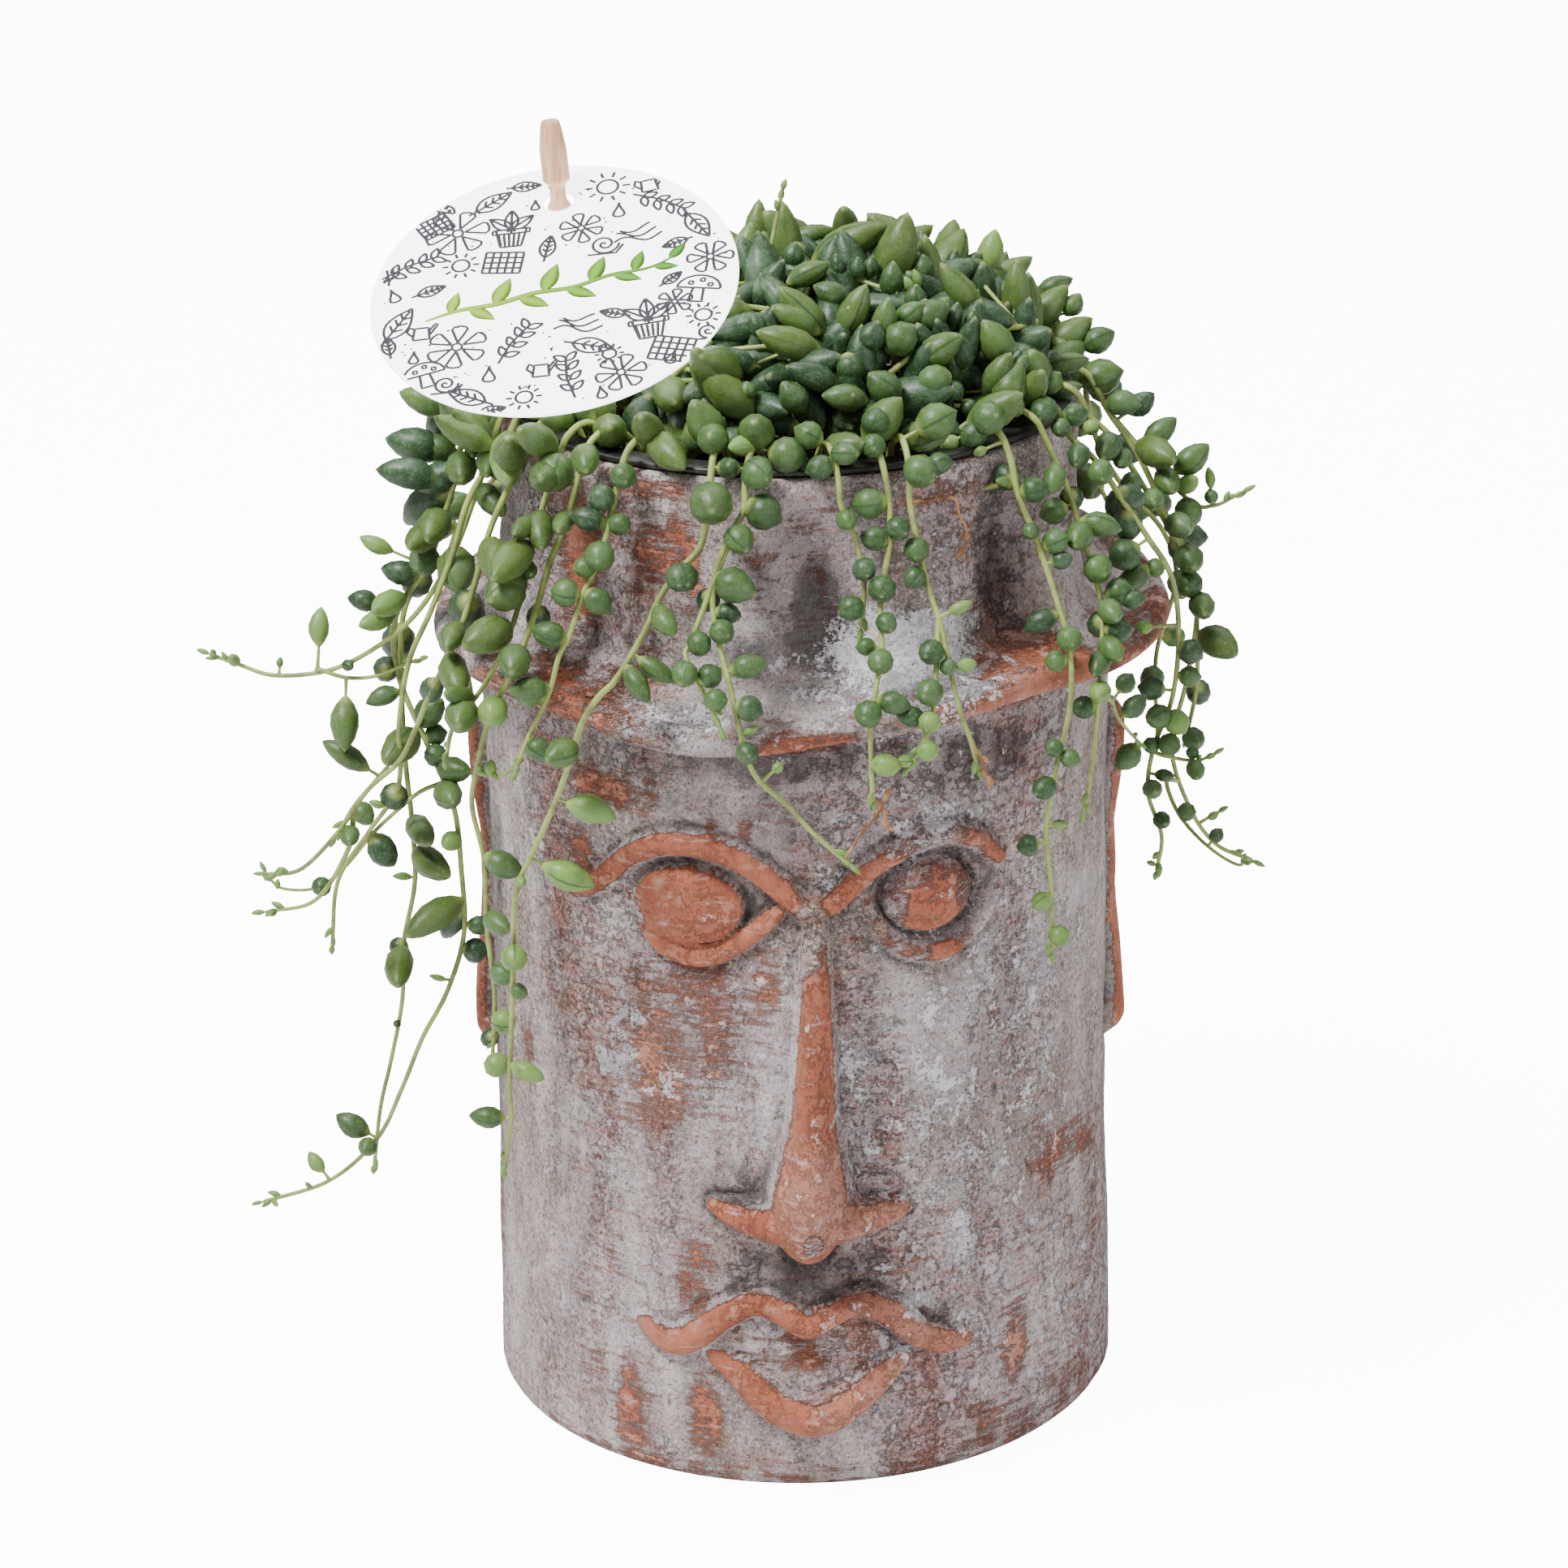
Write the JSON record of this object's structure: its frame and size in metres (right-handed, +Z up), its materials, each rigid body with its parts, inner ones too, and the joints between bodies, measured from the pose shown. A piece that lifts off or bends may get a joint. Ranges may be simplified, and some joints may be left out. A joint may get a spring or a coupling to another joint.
{
  "type": "potted string of watermelons in a head planter",
  "caption": "Trailing bead succulent in a thin nursery pot that stands in a terracotta planter shaped as a head with a brimmed hat, with a round label card on a wooden peg.",
  "frame": {"origin": "middle of the planter's flat base, on the surface it stands on", "axes": "+Z up, the planter's face looks toward -Y, and +X is on the right hand of someone who looks at the face"},
  "size_m": [0.2264, 0.1854, 0.284],
  "materials": {
    "terracotta": "unglazed terracotta under a worn grey cement wash",
    "nursery_plastic": "thin black moulded plastic",
    "soil": "loose dark potting soil",
    "leaf": "smooth fleshy leaf with a faint waxy bloom",
    "card": "coated white card with grey line print",
    "peg_wood": "bare turned wood"
  },
  "bodies": {
    "root": {"crown": "leaf", "head_planter": "terracotta", "label_card": "card", "nursery_pot": "nursery_plastic", "soil": "soil", "string_back_1": "leaf", "string_back_2": "leaf", "string_back_3": "leaf", "string_back_4": "leaf", "string_back_5": "leaf", "string_back_6": "leaf", "string_back_7": "leaf", "string_back_8": "leaf", "string_back_9": "leaf", "string_brow": "leaf", "string_cheek": "leaf", "string_forehead": "leaf", "string_hat_left": "leaf", "string_hat_right": "leaf", "string_hat_short": "leaf", "string_left_bend": "leaf", "string_left_fork": "leaf", "string_left_long": "leaf", "string_left_shoot": "leaf", "string_left_short": "leaf", "string_left_side": "leaf", "string_right_brow": "leaf", "string_right_dense": "leaf", "string_right_eye": "leaf", "string_right_far": "leaf", "string_right_side": "leaf", "string_temple": "leaf", "wooden_peg": "peg_wood"}
  },
  "joints": []
}
